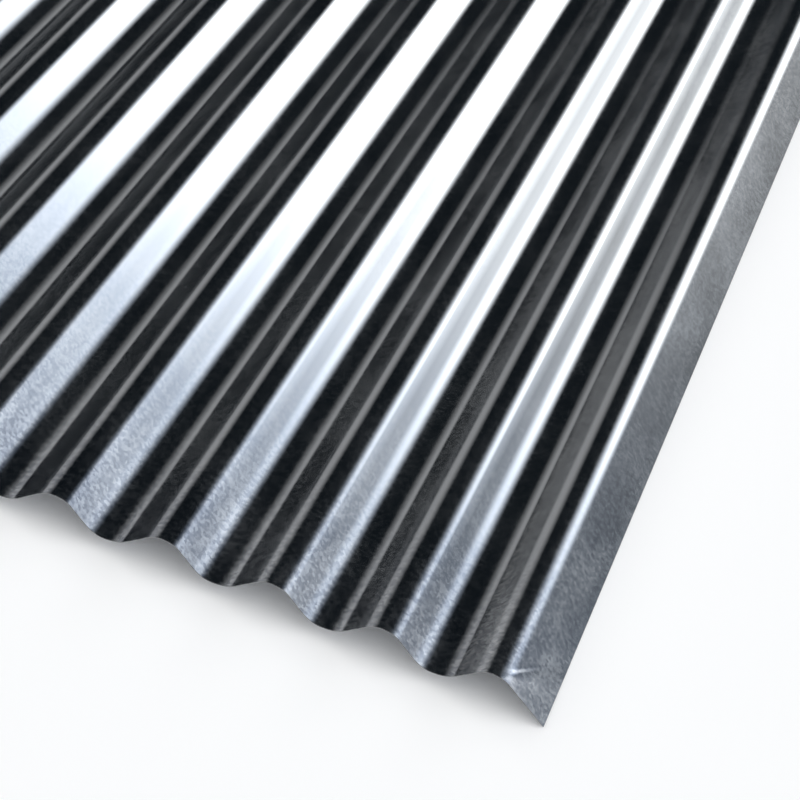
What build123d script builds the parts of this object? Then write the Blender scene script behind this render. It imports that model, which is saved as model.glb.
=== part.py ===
from build123d import *
import math
import os

# Corrugated sheet rolled from one piece of galvanised steel, lying as it does on a level floor.
# The waves run along Y and repeat across X. Z is up, and both long edges are turned down, so
# the sheet rests on those two edges. The origin is under the middle of the sheet, at floor
# level. Sizes are in millimetres, and the section is drawn along the sheet's upper face.

# Wave
pitch = 76.0
depth = 18.0
crest_count = 12
crest_radius = 20.0
trough_radius = 24.0

# Long edges, turned down flat past the outer crests
flange_angle = 38.0
flange_width = 36.0

# Stock
thickness = 0.5
length = 2000.0

# Slope of the straight webs between crest and trough. Half a pitch across, the two arcs and
# the web between them fall by the depth: (radii - depth) * cos + half_pitch * sin = radii.
half_pitch = pitch / 2
radii = crest_radius + trough_radius
rise_arm = radii - depth
web_angle = math.degrees(
    math.atan2(half_pitch, rise_arm) - math.acos(radii / math.hypot(half_pitch, rise_arm))
)
web_rad = math.radians(web_angle)
web_straight = (half_pitch - radii * math.sin(web_rad)) / math.cos(web_rad)

# Reach of one turned-down edge beyond the last crest, and the height of its upper face's tip
# and of the crests over the floor
flange_rad = math.radians(flange_angle)
flange_reach = crest_radius * math.sin(flange_rad) + flange_width * math.cos(flange_rad)
flange_drop = crest_radius * (1 - math.cos(flange_rad)) + flange_width * math.sin(flange_rad)
tip_height = thickness * math.cos(flange_rad)
crest_height = tip_height + flange_drop
half_width = (crest_count - 1) * half_pitch + flange_reach


with BuildPart() as corrugated_sheet:
    with BuildSketch(Plane.XZ) as section:
        with BuildLine() as upper_face:
            edge = PolarLine((-half_width, tip_height), flange_width, flange_angle)
            crest = JernArc(edge @ 1, edge % 1, crest_radius, -(flange_angle + web_angle))
            for wave in range(1, crest_count):
                web_down = PolarLine(crest @ 1, web_straight, direction=crest % 1)
                trough = JernArc(web_down @ 1, web_down % 1, trough_radius, 2 * web_angle)
                web_up = PolarLine(trough @ 1, web_straight, direction=trough % 1)
                leaving = flange_angle if wave == crest_count - 1 else web_angle
                crest = JernArc(web_up @ 1, web_up % 1, crest_radius, -(web_angle + leaving))
            PolarLine(crest @ 1, flange_width, direction=crest % 1)
            offset(amount=thickness, side=Side.RIGHT)
        make_face()
    extrude(amount=length / 2, both=True)

corrugated_sheet.part.label = "corrugated_sheet"

os.makedirs("parts", exist_ok=True)
export_step(corrugated_sheet.part, "parts/corrugated_sheet.step")

width = 2 * half_width
print(f"sheet {width:.1f} x {length:.1f} x {crest_height:.1f} mm, web angle {web_angle:.2f} degrees")
print(f"web straight {web_straight:.2f} mm, crest height {crest_height:.2f} mm")
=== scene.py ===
"""Dresses the corrugated galvanised sheet: its rolled skin, zinc finish, studio and camera.

Lengths are in metres and angles in degrees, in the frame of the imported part: the waves run
along Y and repeat across X, Z is up, and the sheet rests on its two turned-down long edges.
"""
from __future__ import annotations

import logging
import math
from dataclasses import dataclass
from enum import Enum

import bpy
import numpy as np
from mathutils import Matrix, Vector

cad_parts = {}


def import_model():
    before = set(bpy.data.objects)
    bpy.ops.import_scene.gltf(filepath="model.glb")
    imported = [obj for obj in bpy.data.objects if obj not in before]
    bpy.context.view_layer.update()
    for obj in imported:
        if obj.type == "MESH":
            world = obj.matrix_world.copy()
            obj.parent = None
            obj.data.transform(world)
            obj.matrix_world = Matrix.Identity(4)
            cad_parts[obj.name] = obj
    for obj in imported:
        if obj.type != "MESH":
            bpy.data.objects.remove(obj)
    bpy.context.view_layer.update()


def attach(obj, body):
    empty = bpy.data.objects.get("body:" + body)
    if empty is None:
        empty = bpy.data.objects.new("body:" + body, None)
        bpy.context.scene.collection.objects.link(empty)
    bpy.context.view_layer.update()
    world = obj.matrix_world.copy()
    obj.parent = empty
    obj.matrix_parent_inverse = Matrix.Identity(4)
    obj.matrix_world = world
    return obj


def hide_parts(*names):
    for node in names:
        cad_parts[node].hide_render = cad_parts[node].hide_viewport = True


SHEET_NODE = "corrugated_sheet"

# Red, green and blue of a light, a surface's colour with its alpha, and what a node can be fed
Light = tuple[float, float, float]
Colour = tuple[float, float, float, float]
NodeInput = float | tuple[float, ...] | bpy.types.NodeSocket

logger = logging.getLogger("corrugated_sheet_scene")


class Face(Enum):
    """The parts of the sheet's skin that take a finish of their own."""

    ZINC = 0
    CUT_EDGE = 1


@dataclass(frozen=True)
class Section:
    """The rolled section of the sheet, drawn along its upper face from left to right.

    Attributes:
        pitch: Distance from one crest to the next.
        depth: Height of the crests over the troughs.
        crest_count: Number of crests.
        crest_radius: Radius of the upper face over a crest.
        trough_radius: Radius of the upper face in a trough.
        flange_angle: Slope of the two turned-down edges.
        flange_width: Width of their flat part.
        thickness: Thickness of the sheet.
        lean: How far the rolls ease the bends to one side.
        bend_steps: Chords in a bend.
        web_steps: Chords in a straight web.
        flange_steps: Chords in the flat part of a turned-down edge.
    """

    pitch: float = 0.076
    depth: float = 0.018
    crest_count: int = 12
    crest_radius: float = 0.020
    trough_radius: float = 0.024
    flange_angle: float = 38.0
    flange_width: float = 0.036
    thickness: float = 0.0005
    lean: float = 0.38
    bend_steps: int = 16
    web_steps: int = 2
    flange_steps: int = 28

    def web_angle(self) -> float:
        """Slope of the straight webs, in degrees.

        Half a pitch across, two bends and a web fall by the depth, which gives
        (radii - depth) * cos + half pitch * sin = radii.

        Returns:
            The slope.
        """
        radii = self.crest_radius + self.trough_radius
        arm = radii - self.depth
        half = self.pitch / 2
        return math.degrees(math.atan2(half, arm) - math.acos(radii / math.hypot(half, arm)))

    def web_length(self) -> float:
        """Length of one straight web between its two bends.

        It is (half pitch - radii * sin) / cos, with the sine and cosine of the web's slope.

        Returns:
            The length.
        """
        slope = math.radians(self.web_angle())
        radii = self.crest_radius + self.trough_radius
        return (self.pitch / 2 - radii * math.sin(slope)) / math.cos(slope)

    def half_width(self) -> float:
        """Distance from the sheet's middle to the tip of a turned-down edge.

        Half the span of the crests, plus crest radius * sin + flat width * cos, with the
        sine and cosine of that edge's slope.

        Returns:
            The distance.
        """
        slope = math.radians(self.flange_angle)
        reach = self.crest_radius * math.sin(slope) + self.flange_width * math.cos(slope)
        return (self.crest_count - 1) * self.pitch / 2 + reach

    def tip_height(self) -> float:
        """Height of the upper face at a turned-down edge's tip: thickness * cos of its slope."""
        return self.thickness * math.cos(math.radians(self.flange_angle))

    def headings(self) -> tuple[np.ndarray, np.ndarray]:
        """Steps and slopes of the section's short chords.

        A straight is cut into equal chords. A bend of radius r through an angle a is cut
        into n chords of length 2 r sin(a / 2n), each turned by a / n from the one before.
        The rolls leave a slight lean: slope s, of at most m, becomes
        s * (1 - e + e * (s / m) ** 2), with an easing e for each half of a bend. A positive
        e eases the middle of the bend and tightens its end. It is the lean on a crest's
        right half and the opposite on its left half. On a trough it is less, in the ratio
        of the radii, so the waves keep their depth. The halves beside the turned-down
        edges have none.

        Returns:
            Chord lengths, and chord headings in radians over the horizontal.
        """
        web = math.radians(self.web_angle())
        flange = math.radians(self.flange_angle)
        lengths: list[np.ndarray] = []
        slopes: list[np.ndarray] = []

        def straight(length: float, slope: float, steps: int) -> None:
            """Adds a straight of that length and slope, cut into that many chords."""
            lengths.append(np.full(steps, length / steps))
            slopes.append(np.full(steps, slope))

        def bend(radius: float, start: float, end: float, easing: tuple[float, float]) -> None:
            """Adds a bend.

            Args:
                radius: Its radius.
                start: The slope that it starts at, in radians.
                end: The slope that it ends at, of the other sign.
                easing: The easing of its first and second half.
            """
            share = (np.arange(self.bend_steps) + 0.5) / self.bend_steps
            plain = start + (end - start) * share
            arriving = plain * start > 0
            limit = np.where(arriving, start, end)
            ease = np.where(arriving, *easing)
            chord = 2 * radius * math.sin(abs(end - start) / 2 / self.bend_steps)
            lengths.append(np.full(self.bend_steps, chord))
            slopes.append(plain * (1 - ease + ease * (plain / limit) ** 2))

        crest = self.lean
        trough = self.lean * self.crest_radius / self.trough_radius
        straight(self.flange_width, flange, self.flange_steps)
        bend(self.crest_radius, flange, -web, (0.0, crest))
        for wave in range(1, self.crest_count):
            straight(self.web_length(), -web, self.web_steps)
            bend(self.trough_radius, -web, web, (-trough, trough))
            straight(self.web_length(), web, self.web_steps)
            if wave < self.crest_count - 1:
                bend(self.crest_radius, web, -web, (-crest, crest))
        bend(self.crest_radius, web, -flange, (-crest, 0.0))
        straight(self.flange_width, -flange, self.flange_steps)
        return np.concatenate(lengths), np.concatenate(slopes)

    def upper_line(self) -> tuple[np.ndarray, np.ndarray, np.ndarray]:
        """Points of the upper face and their normals, summed along the chords.

        The steps across are scaled together, and what is left of a rise over the whole
        width is shared out by length, so that the sheet keeps its full width and rests on
        both edges.

        Returns:
            Distance along the section from the middle, points (n, 2) in X and Z, and unit
            normals (n, 2) that point up out of the sheet.
        """
        lengths, slopes = self.headings()
        steps = np.stack([lengths * np.cos(slopes), lengths * np.sin(slopes)], 1)
        steps[:, 0] *= 2 * self.half_width() / steps[:, 0].sum()
        steps[:, 1] -= steps[:, 1].sum() * lengths / lengths.sum()
        points = np.vstack([[0.0, 0.0], np.cumsum(steps, 0)])
        points += np.array([-self.half_width(), self.tip_height()])
        mean = np.concatenate([slopes[:1], (slopes[1:] + slopes[:-1]) / 2, slopes[-1:]])
        normals = np.stack([-np.sin(mean), np.cos(mean)], 1)
        along = np.concatenate([[0.0], np.cumsum(lengths)])
        return along - along[-1] / 2, points, normals


@dataclass(frozen=True)
class CornerCrease:
    """The small crease that folds the sheet's near right corner.

    Places are given across from the last crest, as x, and along from the cut end, as y.

    Attributes:
        start_x, start_y: Where the crease line starts.
        end_x, end_y: Where it ends.
        start_lead: How far before its start the line is half there.
        start_blur: Over what distance it appears.
        flange_start: Distance from the last crest where the crease begins to show.
        flange_blend: Over what distance it then comes to its full height.
        ridge_height: Height of the ridge on the line.
        steep_width: The ridge's width on its steep side.
        gentle_width: Its width on the side of the corner.
        first_growth: Share of those widths at the line's start.
        ridge_spread: Distance along the line that adds one more of those widths.
        ridge_fade: Distance along the line over which the ridge fades.
        lift_angle: Slope of the corner past the line.
        round_off: Size of the rounding at the foot of that slope.
    """

    start_x: float = 0.0085
    start_y: float = 0.006
    end_x: float = 0.0400
    end_y: float = 0.0600
    start_lead: float = 0.001
    start_blur: float = 0.0015
    flange_start: float = 0.004
    flange_blend: float = 0.010
    ridge_height: float = 0.00060
    steep_width: float = 0.0021
    gentle_width: float = 0.007
    first_growth: float = 0.7
    ridge_spread: float = 0.080
    ridge_fade: float = 0.042
    lift_angle: float = 1.8
    round_off: float = 0.003

    def lift(self, x: np.ndarray, y: np.ndarray) -> np.ndarray:
        """How far a point of the corner stands above the rolled surface.

        The distance d from the crease line is positive towards the corner. The lift is a
        ridge on the line, exp(-(d / width) ** 2), with a steep side and a gentle one. The
        ridge's width grows along the line, and its height fades along it as
        exp(-(along / fade) ** 2). Past the line a plane rises by the lift angle, with the
        kink rounded off as (d + sqrt(d * d + r * r) - r * exp(-(d / r) ** 2)) / 2, never
        below 0. All of it begins softly at the line's start, and past the top of the last
        crest.

        Args:
            x: Distance across the waves from the last crest.
            y: Distance along the waves from the near cut end.

        Returns:
            The lift at each point.
        """
        run = np.array([self.end_x - self.start_x, self.end_y - self.start_y])
        run = run / np.linalg.norm(run)
        d = (x - self.start_x) * run[1] - (y - self.start_y) * run[0]
        along = (x - self.start_x) * run[0] + (y - self.start_y) * run[1]
        on_line = 1 / (1 + np.exp(-(along + self.start_lead) / self.start_blur))
        on_flange = np.clip((x - self.flange_start) / self.flange_blend, 0, 1)
        growth = self.first_growth + np.clip(along / self.ridge_spread, 0, None)
        width = np.where(d < 0, self.steep_width, self.gentle_width) * growth
        fade = along / self.ridge_fade
        ridge = self.ridge_height * np.exp(-((d / width) ** 2) - fade**2)
        rise = (d + np.sqrt(d * d + self.round_off**2)) / 2
        rise = rise - self.round_off / 2 * np.exp(-((d / self.round_off) ** 2))
        rise = np.maximum(rise, 0.0)
        slope = math.tan(math.radians(self.lift_angle))
        return on_line * on_flange * (ridge + slope * rise)


@dataclass(frozen=True)
class RollWave:
    """One of the slow waves that the rolls leave in the sheet.

    Attributes:
        size: Its height beside the other waves'.
        along: Radians that it turns through in a metre along the sheet.
        across: Radians that it turns through in a metre across it.
        phase: Radians that it has turned through at the sheet's middle.
    """

    size: float
    along: float
    across: float
    phase: float

    def height(self, x: np.ndarray, y: np.ndarray) -> np.ndarray:
        """The wave's height, size * sin(along * y + across * x + phase)."""
        return self.size * np.sin(self.along * y + self.across * x + self.phase)


@dataclass
class SheetSkin:
    """The sheet's visible skin: both faces and the four cut edges, as one closed mesh.

    Attributes:
        section: The rolled section that runs along it.
        crease: The crease of its near right corner.
        length: Length along the waves.
        rows: Rows of points along that length.
        fine_rows: How many of them lie close together at the near end.
        fine_reach: How far those reach.
        far_spread: Power by which the other rows draw apart.
        ripple: Size of the slow ripple.
        ripple_drop: How far it is moved down, in ripples.
        ripple_margin: Over what distance it fades out at the turned-down edges.
        roll_waves: The waves that make it up.
        name: The piece's name.
    """

    section: Section
    crease: CornerCrease
    length: float = 2.0
    rows: int = 92
    fine_rows: int = 56
    fine_reach: float = 0.085
    far_spread: float = 1.25
    ripple: float = 0.00012
    ripple_drop: float = 1.45
    ripple_margin: float = 0.05
    roll_waves: tuple[RollWave, ...] = (
        RollWave(size=1.0, along=7.9, across=2.1, phase=0.0),
        RollWave(size=0.7, along=17.3, across=-5.2, phase=1.3),
        RollWave(size=0.4, along=31.0, across=11.0, phase=0.4),
    )
    name: str = "sheet_skin"

    def stations(self) -> np.ndarray:
        """Places of the mesh's rows along Y, close together at the near end.

        From the near end, the fine rows go evenly up to the fine reach. The others go on as
        reach + (length - reach) * share ** spread, with a share that runs evenly to 1.

        Returns:
            The rows' Y, from the near end to the far one.
        """
        near = np.linspace(0.0, self.fine_reach, self.fine_rows)
        share = np.linspace(0.0, 1.0, self.rows - self.fine_rows + 1)[1:]
        far = self.fine_reach + (self.length - self.fine_reach) * share**self.far_spread
        return np.concatenate([near, far]) - self.length / 2

    def sag(self, x: np.ndarray, y: np.ndarray) -> np.ndarray:
        """Slow ripples left by the rolls, never above the true surface.

        The sum of the roll waves over their sizes' sum, moved down so that it stays a little
        below the true surface, and faded out at the turned-down edges.

        Args:
            x: Across the sheet.
            y: Along the sheet.

        Returns:
            Depth of the ripple below the true surface, as negative numbers.
        """
        total = sum(wave.height(x, y) for wave in self.roll_waves)
        sizes = sum(wave.size for wave in self.roll_waves)
        edge = np.clip((self.section.half_width() - np.abs(x)) / self.ripple_margin, 0, 1)
        return self.ripple * (total / sizes - self.ripple_drop) * edge

    def surface(self) -> tuple[np.ndarray, np.ndarray, np.ndarray]:
        """Upper and under faces as grids of points.

        A point is the section's point, carried along Y, plus the ripple along the normal
        and the corner's lift along Z. The under face lies one thickness below, along the
        normal.

        Returns:
            Upper points (rows, n, 3), under points (rows, n, 3), and the developed place
            (rows, n, 2): distance along the section and along Y.
        """
        along, points, normals = self.section.upper_line()
        y = self.stations()
        shape = (len(y), len(along))
        x_grid = np.broadcast_to(points[:, 0], shape)
        y_grid = np.broadcast_to(y[:, None], shape)
        last_crest = (self.section.crest_count - 1) * self.section.pitch / 2
        lift = self.crease.lift(x_grid - last_crest, y_grid + self.length / 2)
        flat = np.stack([x_grid, y_grid, np.broadcast_to(points[:, 1], shape)], -1)
        normal = np.zeros(shape + (3,))
        normal[..., 0] = normals[:, 0]
        normal[..., 2] = normals[:, 1]
        upper = flat + normal * self.sag(x_grid, y_grid)[..., None]
        upper[..., 2] += lift
        under = upper - normal * self.section.thickness
        developed = np.stack([np.broadcast_to(along, shape), y_grid], -1)
        return upper, under, developed

    def quads(self, rows: int, columns: int) -> tuple[np.ndarray, np.ndarray]:
        """Faces of the closed skin.

        Vertices are numbered row by row, first the upper face and then the under one. The
        cut runs round the border, from each border point of the upper face to the same
        point of the under face.

        Args:
            rows: Number of rows along Y.
            columns: Number of points across.

        Returns:
            Quads (m, 4) that point outwards, and the Face of each.
        """
        index = np.arange(rows * columns).reshape(rows, columns)
        a, b, c, d = index[:-1, :-1], index[:-1, 1:], index[1:, 1:], index[1:, :-1]
        upper = np.stack([a, b, c, d], -1).reshape(-1, 4)
        under = np.stack([a, d, c, b], -1).reshape(-1, 4) + rows * columns
        top = self.rim(rows, columns)
        low = top + rows * columns
        cut = np.stack([top, low, np.roll(low, -1), np.roll(top, -1)], -1)
        faces = np.concatenate([upper, under, cut])
        kinds = np.full(len(faces), Face.ZINC.value)
        kinds[len(upper) + len(under):] = Face.CUT_EDGE.value
        return faces, kinds

    @staticmethod
    def rim(rows: int, columns: int) -> np.ndarray:
        """Numbers of the upper face's border points, once round, left to right first.

        Args:
            rows: Number of rows along Y.
            columns: Number of points across.

        Returns:
            The numbers, each once.
        """
        index = np.arange(rows * columns).reshape(rows, columns)
        return np.concatenate(
            [index[0, :-1], index[:-1, -1], index[-1, :0:-1], index[:0:-1, 0]]
        )

    @staticmethod
    def sharpen_rim(mesh: bpy.types.Mesh, rim: np.ndarray, under: int) -> None:
        """Marks the edges of the cut as sharp: those that join two border points.

        Args:
            mesh: The skin's mesh.
            rim: Numbers of the upper face's border points.
            under: How much higher the same point of the under face is numbered.
        """
        on_rim = np.zeros(len(mesh.vertices), bool)
        on_rim[rim] = True
        on_rim[rim + under] = True
        ends = np.empty(2 * len(mesh.edges), np.int32)
        mesh.edges.foreach_get("vertices", ends)
        mesh.edges.foreach_set("use_edge_sharp", on_rim[ends].reshape(-1, 2).all(1))

    def build(self, finishes: dict[Face, bpy.types.Material]) -> bpy.types.Object:
        """Makes the skin's object, with its finishes and its developed UV map.

        Args:
            finishes: The material of each Face.

        Returns:
            The object, at the origin, with its place in its mesh.
        """
        upper, under, developed = self.surface()
        rows, columns = upper.shape[:2]
        faces, kinds = self.quads(rows, columns)
        points = np.concatenate([upper.reshape(-1, 3), under.reshape(-1, 3)])
        places = np.tile(developed.reshape(-1, 2), (2, 1))

        mesh = bpy.data.meshes.new(self.name)
        mesh.vertices.add(len(points))
        mesh.vertices.foreach_set("co", points.astype(np.float32).ravel())
        mesh.loops.add(faces.size)
        mesh.loops.foreach_set("vertex_index", faces.astype(np.int32).ravel())
        mesh.polygons.add(len(faces))
        mesh.polygons.foreach_set("loop_start", np.arange(0, faces.size, 4, dtype=np.int32))
        mesh.polygons.foreach_set("material_index", kinds.astype(np.int32))
        for face in Face:
            mesh.materials.append(finishes[face])
        layer = mesh.uv_layers.new(name="developed")
        layer.data.foreach_set("uv", places[faces.ravel()].astype(np.float32).ravel())
        mesh.update(calc_edges=True)
        mesh.validate()
        mesh.polygons.foreach_set("use_smooth", np.ones(len(faces), bool))
        self.sharpen_rim(mesh, self.rim(rows, columns), rows * columns)
        skin = bpy.data.objects.new(self.name, mesh)
        bpy.context.scene.collection.objects.link(skin)
        return skin


@dataclass
class NodeBench:
    """Lays out shader nodes in one tree, so that a finish reads as a short recipe.

    Attributes:
        tree: The tree that the nodes go into.
        placed: How many it has had so far.
        per_row: How many stand side by side.
        column_width: Distance between two that do.
        row_height: Distance between two rows.
    """

    tree: bpy.types.NodeTree
    placed: int = 0
    per_row: int = 12
    column_width: int = 220
    row_height: int = 260

    def add(self, kind: str, **settings: object) -> bpy.types.Node:
        """Adds a node of that kind and sets its properties.

        Args:
            kind: The node's type name.
            settings: Its properties, by name.

        Returns:
            The node.
        """
        node = self.tree.nodes.new(kind)
        row, column = divmod(self.placed, self.per_row)
        node.location = (self.column_width * column, -self.row_height * row)
        self.placed += 1
        for key, value in settings.items():
            setattr(node, key, value)
        return node

    def feed(self, node: bpy.types.Node, **inputs: NodeInput) -> bpy.types.Node:
        """Sets or links a node's inputs.

        Args:
            node: The node.
            inputs: A number, a tuple or an output socket for each input. A key is an
                input's name with _ for a space, or its number after the letter i.

        Returns:
            The node.
        """
        for key, value in inputs.items():
            if key[0] == "i" and key[1:].isdigit():
                socket = node.inputs[int(key[1:])]
            else:
                socket = node.inputs[key.replace("_", " ")]
            if isinstance(value, bpy.types.NodeSocket):
                self.tree.links.new(value, socket)
            else:
                socket.default_value = value
        return node

    def math(
        self, operation: str, *values: NodeInput, clamp: bool = False
    ) -> bpy.types.NodeSocket:
        """Adds a Math node.

        Args:
            operation: What it works out.
            values: Its inputs, as numbers or sockets.
            clamp: Whether to keep the result from 0 to 1.

        Returns:
            Its output.
        """
        node = self.add("ShaderNodeMath", operation=operation, use_clamp=clamp)
        self.feed(node, **{f"i{i}": value for i, value in enumerate(values)})
        return node.outputs[0]

    def ramp(
        self, value: NodeInput, low: float, high: float, start: float = 0.0, end: float = 1.0
    ) -> bpy.types.NodeSocket:
        """Turns a value smoothly from start to end as it goes from low to high.

        Args:
            value: The value, as a socket.
            low: Where the turn begins.
            high: Where it ends.
            start: The result at low.
            end: The result at high.

        Returns:
            The result's socket.
        """
        node = self.add("ShaderNodeMapRange", interpolation_type="SMOOTHSTEP")
        self.feed(node, Value=value, From_Min=low, From_Max=high, To_Min=start, To_Max=end)
        return node.outputs[0]

    def mix(
        self, share: NodeInput, first: NodeInput, second: NodeInput
    ) -> bpy.types.NodeSocket:
        """Mixes two colours.

        Args:
            share: The second colour's share.
            first: A colour as a tuple or socket.
            second: A colour as a tuple or socket.

        Returns:
            The mixed colour's socket.
        """
        node = self.add("ShaderNodeMix", data_type="RGBA")
        self.feed(node, i0=share, i6=first, i7=second)
        return node.outputs[2]

    def scale(self, vector: NodeInput, by: NodeInput) -> bpy.types.NodeSocket:
        """Multiplies a colour or vector by a number.

        Args:
            vector: The colour or vector.
            by: The number.

        Returns:
            The product's socket.
        """
        node = self.add("ShaderNodeVectorMath", operation="SCALE")
        self.feed(node, i0=vector, Scale=by)
        return node.outputs[0]


@dataclass(frozen=True)
class ZincMottle:
    """The fine mottle of a zinc coating, as a node group that both finishes use.

    Attributes:
        crystal_size: Size of one crystal.
        crystal_share: How much the crystals count for in the tone.
        grain_scale: Grains across one crystal.
        grain_detail: Detail of the grain.
        bloom_size: Size of the slow clouds.
        bloom_detail: Their detail.
        bloom_stretch: Their scale along x, y and z, where less is longer.
        group_name: The node group's name.
    """

    crystal_size: float = 0.0026
    crystal_share: float = 0.45
    grain_scale: float = 0.7
    grain_detail: float = 3.0
    bloom_size: float = 0.030
    bloom_detail: float = 4.0
    bloom_stretch: tuple[float, float, float] = (1.0, 0.35, 1.0)
    group_name: str = "zinc_mottle"

    def group(self) -> bpy.types.NodeTree:
        """The node group, made once.

        Crystals are cells of a Voronoi pattern, each with a tone of its own. Grain is fine
        noise on top of them. Bloom is slow noise, drawn out along the rolling direction.
        Tone is the crystals times their share plus the grain times the input Grain, and
        Height is the grain.

        Returns:
            The group, with inputs Vector and Grain, and outputs Tone, Bloom and Height.
        """
        found = bpy.data.node_groups.get(self.group_name)
        if found is not None:
            return found
        tree = bpy.data.node_groups.new(self.group_name, "ShaderNodeTree")
        face = tree.interface
        face.new_socket("Vector", in_out="INPUT", socket_type="NodeSocketVector")
        face.new_socket("Grain", in_out="INPUT", socket_type="NodeSocketFloat")
        for name in ("Tone", "Bloom", "Height"):
            face.new_socket(name, in_out="OUTPUT", socket_type="NodeSocketFloat")
        bench = NodeBench(tree)
        given = bench.add("NodeGroupInput")
        result = bench.add("NodeGroupOutput")
        cells = bench.add("ShaderNodeTexVoronoi", feature="F1", voronoi_dimensions="3D")
        bench.feed(cells, Vector=given.outputs["Vector"], Scale=1 / self.crystal_size)
        tone = bench.add("ShaderNodeSeparateColor")
        bench.feed(tone, Color=cells.outputs["Color"])
        grain = bench.add("ShaderNodeTexNoise", noise_dimensions="3D")
        bench.feed(
            grain,
            Vector=given.outputs["Vector"],
            Scale=self.grain_scale / self.crystal_size,
            Detail=self.grain_detail,
        )
        mixed = bench.math("MULTIPLY", tone.outputs[0], self.crystal_share)
        fine = bench.math("MULTIPLY", grain.outputs[0], given.outputs["Grain"])
        mixed = bench.math("ADD", mixed, fine)
        stretch = bench.add("ShaderNodeMapping")
        bench.feed(stretch, Vector=given.outputs["Vector"], Scale=self.bloom_stretch)
        bloom = bench.add("ShaderNodeTexNoise", noise_dimensions="3D")
        bench.feed(
            bloom,
            Vector=stretch.outputs[0],
            Scale=1 / self.bloom_size,
            Detail=self.bloom_detail,
        )
        bench.feed(result, Tone=mixed, Bloom=bloom.outputs[0], Height=grain.outputs[0])
        return tree


@dataclass(frozen=True)
class GalvanisedFace:
    """The bright zinc face of the sheet.

    Attributes:
        dark, light: Colours that the mottle runs between.
        plain: Colour where it doesn't show.
        grain: How much the grain counts for in the tone.
        tone_span, bloom_span: The values of tone and bloom that are drawn out to 0 and 1.
        tone_share: Share of the tone in the colour, where the rest is the bloom's.
        end_span: Distances from the middle, along the sheet, where the mottle grows.
        side_span: The same across it, towards the turned-down edges.
        side_share: Share of the mottle that shows on those edges.
        quiet: Share of the mottle that shows elsewhere.
        roughness: Roughness at its least.
        roughness_range: What the tone and the bloom each add to it.
        bump: Strength of the grain's bump.
        bump_height: Its height.
        name: The material's name.
    """

    dark: Colour = (0.38, 0.405, 0.45, 1.0)
    plain: Colour = (0.60, 0.625, 0.645, 1.0)
    light: Colour = (0.66, 0.685, 0.71, 1.0)
    grain: float = 0.65
    tone_span: tuple[float, float] = (0.25, 0.85)
    bloom_span: tuple[float, float] = (0.30, 0.70)
    tone_share: float = 0.6
    end_span: tuple[float, float] = (0.83, 1.00)
    side_span: tuple[float, float] = (0.420, 0.434)
    side_share: float = 0.25
    quiet: float = 0.12
    roughness: float = 0.11
    roughness_range: float = 0.05
    bump: float = 0.006
    bump_height: float = 0.00004
    name: str = "galvanised_face"

    def material(self, mottle: ZincMottle) -> bpy.types.Material:
        """The finish as a material.

        The mottle shows in full near the cut ends, in part on the turned-down edges, and
        quietly elsewhere. Colour goes from plain to the mottle's own by that share, and
        the mottle's own runs from dark to light with its tone and bloom. Roughness is the
        base plus the range times tone and bloom. The normal is a bump of the grain, by
        the same share.

        Args:
            mottle: The zinc pattern.

        Returns:
            The material.
        """
        made = bpy.data.materials.new(self.name)
        made.use_nodes = True
        bench = NodeBench(made.node_tree)
        shader = made.node_tree.nodes["Principled BSDF"]
        place = bench.add("ShaderNodeTexCoord")
        zinc = bench.add("ShaderNodeGroup", node_tree=mottle.group())
        bench.feed(zinc, Vector=place.outputs["Object"], Grain=self.grain)
        tone = bench.ramp(zinc.outputs["Tone"], *self.tone_span)
        bloom = bench.ramp(zinc.outputs["Bloom"], *self.bloom_span)
        share = self.mottle_share(bench, place.outputs["Object"])
        soft = bench.math("MULTIPLY", bloom, 1 - self.tone_share)
        shade = bench.math("MULTIPLY_ADD", tone, self.tone_share, soft)
        colour = bench.mix(share, self.plain, bench.mix(shade, self.dark, self.light))
        spread = bench.math("MULTIPLY_ADD", tone, self.roughness_range, self.roughness)
        rough = bench.math("MULTIPLY_ADD", bloom, self.roughness_range, spread)
        bump = bench.add("ShaderNodeBump")
        strength = bench.math("MULTIPLY", share, self.bump)
        bench.feed(
            bump, Height=zinc.outputs["Height"], Strength=strength, Distance=self.bump_height
        )
        bench.feed(shader, Base_Color=colour, Roughness=rough, Normal=bump.outputs[0])
        shader.inputs["Metallic"].default_value = 1.0
        return made

    def mottle_share(
        self, bench: NodeBench, place: bpy.types.NodeSocket
    ) -> bpy.types.NodeSocket:
        """How much of the mottle shows at a place on the sheet.

        One rise grows from 0 to 1 towards the ends, and one from 0 to the side share
        towards the sides. The greater of the two takes the mottle from quiet to full.

        Args:
            bench: The material's bench.
            place: Object coordinates.

        Returns:
            The share, from quiet to 1.
        """
        axes = bench.add("ShaderNodeSeparateXYZ")
        bench.feed(axes, Vector=place)
        ends = bench.ramp(bench.math("ABSOLUTE", axes.outputs[1]), *self.end_span)
        sides = bench.ramp(bench.math("ABSOLUTE", axes.outputs[0]), *self.side_span)
        sides = bench.math("MULTIPLY", sides, self.side_share)
        most = bench.math("MAXIMUM", ends, sides)
        return bench.math("MULTIPLY_ADD", most, 1 - self.quiet, self.quiet)


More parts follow.
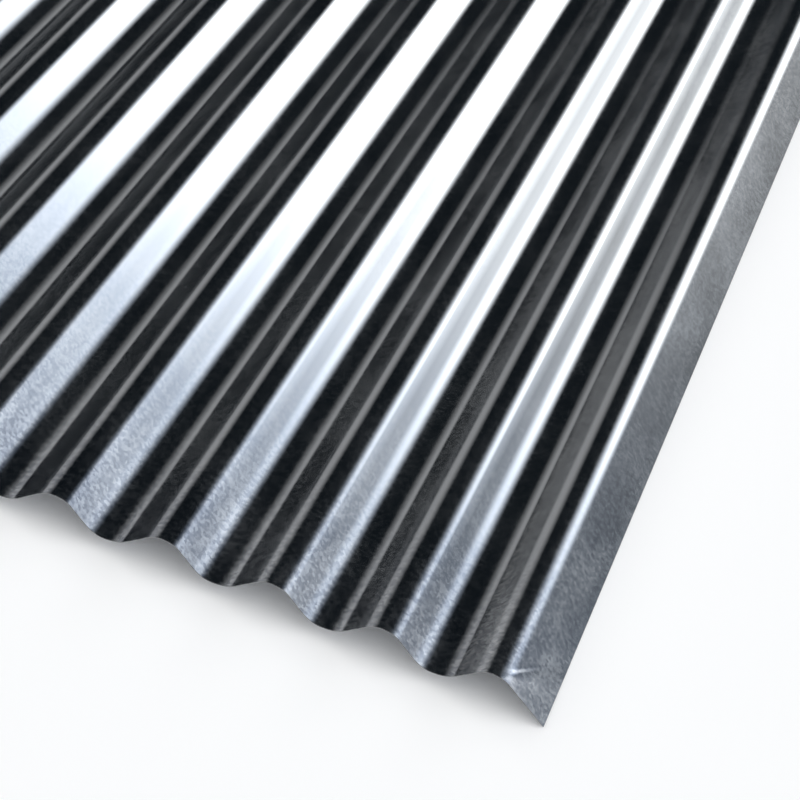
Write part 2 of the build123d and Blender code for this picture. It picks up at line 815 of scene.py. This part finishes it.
@dataclass(frozen=True)
class ShearedEdge:
    """The narrow cut edge, where the steel shows under the zinc.

    Attributes:
        dark, light: Colours that the steel runs between.
        grain: How much the grain counts for in the tone.
        tone_span: The values of the tone that are drawn out to 0 and 1.
        roughness: Roughness of the cut.
        name: The material's name.
    """

    dark: Colour = (0.12, 0.12, 0.125, 1.0)
    light: Colour = (0.26, 0.265, 0.27, 1.0)
    grain: float = 0.9
    tone_span: tuple[float, float] = (0.3, 0.9)
    roughness: float = 0.42
    name: str = "sheared_edge"

    def material(self, mottle: ZincMottle) -> bpy.types.Material:
        """The finish as a material: steel from dark to light, by the tone of the mottle.

        Args:
            mottle: The zinc pattern.

        Returns:
            The material.
        """
        made = bpy.data.materials.new(self.name)
        made.use_nodes = True
        bench = NodeBench(made.node_tree)
        shader = made.node_tree.nodes["Principled BSDF"]
        place = bench.add("ShaderNodeTexCoord")
        zinc = bench.add("ShaderNodeGroup", node_tree=mottle.group())
        bench.feed(zinc, Vector=place.outputs["Object"], Grain=self.grain)
        tone = bench.ramp(zinc.outputs["Tone"], *self.tone_span)
        bench.feed(shader, Base_Color=bench.mix(tone, self.dark, self.light))
        shader.inputs["Metallic"].default_value = 1.0
        shader.inputs["Roughness"].default_value = self.roughness
        return made


@dataclass(frozen=True)
class SoftBox:
    """A large soft light far off, with two sides that run along the waves.

    Its sides are given as the angle round the waves, 0 overhead and positive to the right,
    and its ends as the direction's y. Ends outside -1 to 1 are none.

    Attributes:
        inner, outer: Middle of the soft side nearer to overhead, and of the other one.
        inner_blur, outer_blur: Half the width of each.
        strength: Its light's strength.
        colour: Its light's colour.
        inner_power: How slowly the light starts at the inner side, where 1 is evenly.
        outer_rest: Share of the light that stays past the outer side.
        near_start, near_end: Where the near end begins, and where the light is full.
        near_rest: Share of the light before the near end.
        near_tint: Colour of the light before the near end.
        far_start, far_end: Where the light begins to fall, and where it has fallen.
        far_rest: Share of the light past the far end.
    """

    inner: float
    outer: float
    inner_blur: float
    outer_blur: float
    strength: float
    colour: Light
    inner_power: float = 1.0
    outer_rest: float = 0.0
    near_start: float = -1.2
    near_end: float = -1.1
    near_rest: float = 0.0
    near_tint: Light = (1.0, 1.0, 1.0)
    far_start: float = 1.0
    far_end: float = 1.1
    far_rest: float = 1.0


@dataclass
class Studio:
    """The pale floor and the soft light round the sheet.

    Attributes:
        room, room_level: Colour and strength of the dark walls.
        key: The bright box beyond the sheet, on the right, that the waves' right faces mirror.
        fill: The dim box beyond the sheet, on the left, that makes the grey stripes.
        right_side, left_side, overhead: Boxes beside and over the sheet, which light the
            floor and the other views.
        skirt: The dim bluish box beyond the sheet, low over the floor on the right.
        haze_level, haze_colour: Strength and colour of the haze over the floor.
        haze_span: The direction's z where the haze begins to fade, and where it ends.
        floor_side, floor_colour, floor_roughness: Size and finish of the floor.
    """

    room: Light = (0.62, 0.90, 1.15)
    room_level: float = 0.011
    key: SoftBox = SoftBox(
        inner=29.0, outer=64.5, inner_blur=14.0, outer_blur=13.0, strength=3.2,
        colour=(0.99, 0.995, 1.0), inner_power=1.5, outer_rest=0.015,
        near_start=0.74, near_end=0.86, near_rest=0.15, near_tint=(0.67, 0.79, 1.0),
    )
    fill: SoftBox = SoftBox(
        inner=-48.0, outer=-79.0, inner_blur=12.0, outer_blur=3.0, strength=0.37,
        colour=(1.0, 0.985, 0.985), near_start=0.62, near_end=0.72,
        far_start=0.83, far_end=0.888, far_rest=0.04,
    )
    right_side: SoftBox = SoftBox(
        inner=33.0, outer=80.0, inner_blur=4.0, outer_blur=6.0, strength=2.05,
        colour=(1.0, 0.995, 0.985), far_start=0.58, far_end=0.78, far_rest=0.0,
    )
    skirt: SoftBox = SoftBox(
        inner=70.0, outer=86.0, inner_blur=4.0, outer_blur=4.0, strength=0.26,
        colour=(0.74, 0.84, 1.0), near_start=0.60, near_end=0.70,
        far_start=0.74, far_end=0.80, far_rest=0.0,
    )
    left_side: SoftBox = SoftBox(
        inner=-36.0, outer=-72.0, inner_blur=4.0, outer_blur=6.0, strength=1.65,
        colour=(1.0, 0.995, 0.985), far_start=0.61, far_end=0.71, far_rest=0.0,
    )
    overhead: SoftBox = SoftBox(
        inner=-11.0, outer=14.0, inner_blur=5.0, outer_blur=5.0, strength=1.2,
        colour=(1.0, 0.995, 0.985), far_start=0.52, far_end=0.64, far_rest=0.0,
    )
    haze_level: float = 0.022
    haze_colour: Light = (0.90, 0.97, 1.08)
    haze_span: tuple[float, float] = (0.05, 0.20)
    floor_side: float = 60.0
    floor_colour: Colour = (0.98, 0.98, 0.98, 1.0)
    floor_roughness: float = 1.0

    def add_floor(self) -> bpy.types.Object:
        """The pale floor that the sheet lies on.

        Returns:
            The floor's object.
        """
        half = self.floor_side / 2
        corners = [(-half, -half, 0), (half, -half, 0), (half, half, 0), (-half, half, 0)]
        mesh = bpy.data.meshes.new("floor")
        mesh.from_pydata(corners, [], [(0, 1, 2, 3)])
        paint = bpy.data.materials.new("floor_paint")
        paint.use_nodes = True
        shader = paint.node_tree.nodes["Principled BSDF"]
        shader.inputs["Base Color"].default_value = self.floor_colour
        shader.inputs["Roughness"].default_value = self.floor_roughness
        shader.inputs["Specular IOR Level"].default_value = 0.0
        mesh.materials.append(paint)
        floor = bpy.data.objects.new("floor", mesh)
        bpy.context.scene.collection.objects.link(floor)
        return floor

    @staticmethod
    def box_light(
        bench: NodeBench, box: SoftBox, axes: list[bpy.types.NodeSocket]
    ) -> bpy.types.NodeSocket:
        """The light that one soft box sends from each direction.

        The angle round the waves is atan2(x, z). The light rises from 0 to 1 across the
        inner side, as a straight line to the inner power, and falls to outer_rest across
        the outer side, on that side of overhead only. It is multiplied by a rise over y
        from near_rest and a fall over y to far_rest. Its colour is near_tint where the
        rise over y begins.

        Args:
            bench: The world's bench.
            box: The soft box.
            axes: The direction's x, y and z.

        Returns:
            The light's colour.
        """
        x, y, z = axes
        hand = 1.0 if box.outer > box.inner else -1.0
        tilt = bench.math("DEGREES", bench.math("ARCTAN2", bench.math("MULTIPLY", x, hand), z))
        inner, outer = hand * box.inner, hand * box.outer
        rise = bench.math("SUBTRACT", tilt, inner - box.inner_blur)
        rise = bench.math("DIVIDE", rise, 2 * box.inner_blur, clamp=True)
        level = bench.math("POWER", rise, box.inner_power)
        near = bench.ramp(y, box.near_start, box.near_end)
        fades = (
            bench.ramp(tilt, outer - box.outer_blur, outer + box.outer_blur, 1.0, box.outer_rest),
            bench.ramp(y, box.far_start, box.far_end, 1.0, box.far_rest),
            bench.math("MULTIPLY_ADD", near, 1 - box.near_rest, box.near_rest),
        )
        for fade in fades:
            level = bench.math("MULTIPLY", level, fade)
        level = bench.math("MULTIPLY", level, box.strength)
        tinted = bench.mix(near, (*box.near_tint, 1.0), (*box.colour, 1.0))
        return bench.scale(tinted, level)

    def add_world(self) -> bpy.types.World:
        """The room: dark walls with large soft boxes beside, over and beyond the sheet.

        The light from a direction is the room's own, plus that of the soft boxes, plus a
        dim haze over the floor.

        Returns:
            The world.
        """
        world = bpy.data.worlds.new("studio")
        bpy.context.scene.world = world
        world.use_nodes = True
        tree = world.node_tree
        tree.nodes.clear()
        bench = NodeBench(tree)
        place = bench.add("ShaderNodeTexCoord")
        axes = bench.add("ShaderNodeSeparateXYZ")
        bench.feed(axes, Vector=place.outputs["Generated"])
        boxes = (
            self.key, self.fill, self.skirt, self.right_side, self.left_side, self.overhead
        )
        parts = [self.box_light(bench, box, list(axes.outputs)) for box in boxes]
        low = bench.ramp(axes.outputs[2], *self.haze_span, self.haze_level, 0.0)
        parts.append(bench.scale(self.haze_colour, low))
        total = bench.scale(self.room, self.room_level)
        for part in parts:
            joined = bench.add("ShaderNodeVectorMath", operation="ADD")
            bench.feed(joined, i0=total, i1=part)
            total = joined.outputs[0]
        back = bench.add("ShaderNodeBackground")
        bench.feed(back, Color=total, Strength=1.0)
        out = bench.add("ShaderNodeOutputWorld")
        bench.feed(out, Surface=back.outputs[0])
        return world


@dataclass(frozen=True)
class Viewpoint:
    """The camera that looks down on the sheet's near right corner.

    Attributes:
        place: Where it stands.
        heading: Its turn from +Y towards +X.
        dip: How far it looks down.
        roll: How far it is rolled about its own line of sight.
        lens, sensor_width: Its focal length and sensor, in millimetres.
        clip_start, clip_end: The nearest and farthest that it sees.
    """

    place: tuple[float, float, float] = (0.4885, -2.2576, 1.1230)
    heading: float = -8.056
    dip: float = 36.059
    roll: float = -16.861
    lens: float = 119.0
    sensor_width: float = 36.0
    clip_start: float = 0.05
    clip_end: float = 200.0

    def add_camera(self) -> bpy.types.Object:
        """Makes the scene's camera.

        It looks along +Y, turned by the heading towards +X, tipped down by the dip, and
        then rolled about its own line of sight.

        Returns:
            The camera's object.
        """
        turn, dip = math.radians(self.heading), math.radians(self.dip)
        ahead = Vector(
            (math.sin(turn) * math.cos(dip), math.cos(turn) * math.cos(dip), -math.sin(dip))
        )
        right = ahead.cross(Vector((0, 0, 1))).normalized()
        up = right.cross(ahead)
        roll = math.radians(self.roll)
        tipped_up = up * math.cos(roll) + right * math.sin(roll)
        tipped_right = ahead.cross(tipped_up)
        axes = Matrix((tipped_right, tipped_up, -ahead)).transposed()
        lens = bpy.data.cameras.new("camera")
        lens.lens = self.lens
        lens.sensor_width = self.sensor_width
        lens.clip_start = self.clip_start
        lens.clip_end = self.clip_end
        camera = bpy.data.objects.new("camera", lens)
        camera.matrix_world = Matrix.Translation(self.place) @ axes.to_4x4()
        bpy.context.scene.collection.objects.link(camera)
        bpy.context.scene.camera = camera
        return camera


def main() -> None:
    """Loads the frame, dresses the sheet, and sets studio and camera."""
    logging.basicConfig(level=logging.INFO, format="%(name)s: %(message)s")
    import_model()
    bpy.context.scene.view_settings.view_transform = "Standard"

    mottle = ZincMottle()
    finishes = {
        Face.ZINC: GalvanisedFace().material(mottle),
        Face.CUT_EDGE: ShearedEdge().material(mottle),
    }
    skin = SheetSkin(Section(), CornerCrease()).build(finishes)
    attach(skin, "root")
    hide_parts(SHEET_NODE)
    logger.info("%s: %d faces", skin.name, len(skin.data.polygons))

    studio = Studio()
    studio.add_floor()
    studio.add_world()
    logger.info("floor and room are in place")
    camera = Viewpoint().add_camera()
    logger.info("camera with a %.0f mm lens", camera.data.lens)


if __name__ == "__main__":
    main()
